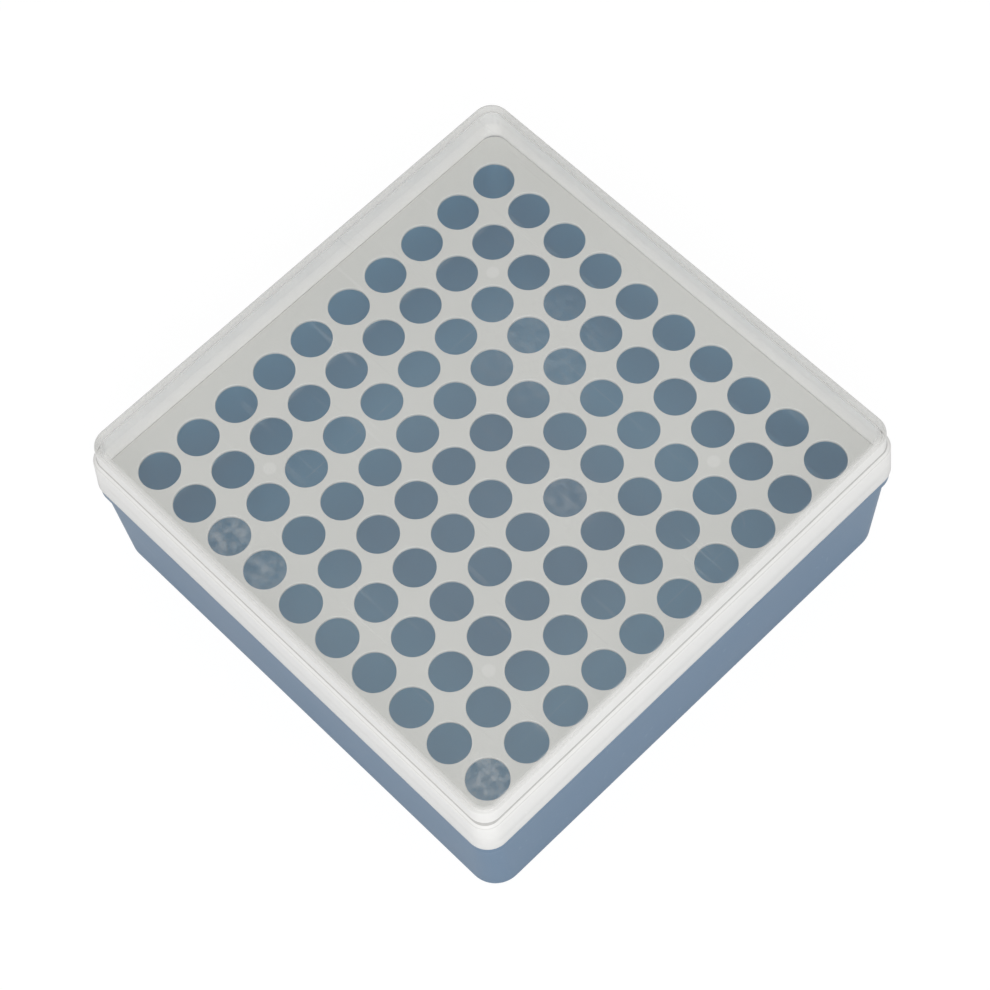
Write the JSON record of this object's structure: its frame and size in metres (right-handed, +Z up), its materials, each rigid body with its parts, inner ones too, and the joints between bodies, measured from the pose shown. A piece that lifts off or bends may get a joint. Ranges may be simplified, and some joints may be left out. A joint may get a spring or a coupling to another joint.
{
  "type": "cryogenic storage box",
  "caption": "Square tube storage box with a blue tray, a white perforated tube rack and a milky see-through lift-off lid.",
  "frame": {"origin": "centre of the underside, at the level it stands on", "axes": "+Z up, +X and +Y along the two sides of the square, towards the visible side faces' right and far ends"},
  "size_m": [0.1462, 0.1462, 0.055],
  "materials": {
    "blue_polypropylene": "satin moulded polypropylene with fine flow marks",
    "white_polypropylene": "satin moulded polypropylene, slightly off white",
    "milky_polypropylene": "natural translucent polypropylene, semi gloss"
  },
  "bodies": {
    "tray": {"tray": "blue_polypropylene"},
    "rack": {"tube_rack": "white_polypropylene"},
    "lid": {"lid": "milky_polypropylene"}
  },
  "joints": [
    {"name": "rack_lift", "type": "slide", "parent": "tray", "child": "rack", "axis": [0, 0, 1], "range_m": [0, 0.06]},
    {"name": "lid_lift", "type": "slide", "parent": "rack", "child": "lid", "axis": [0, 0, 1], "range_m": [0, 0.1]}
  ]
}
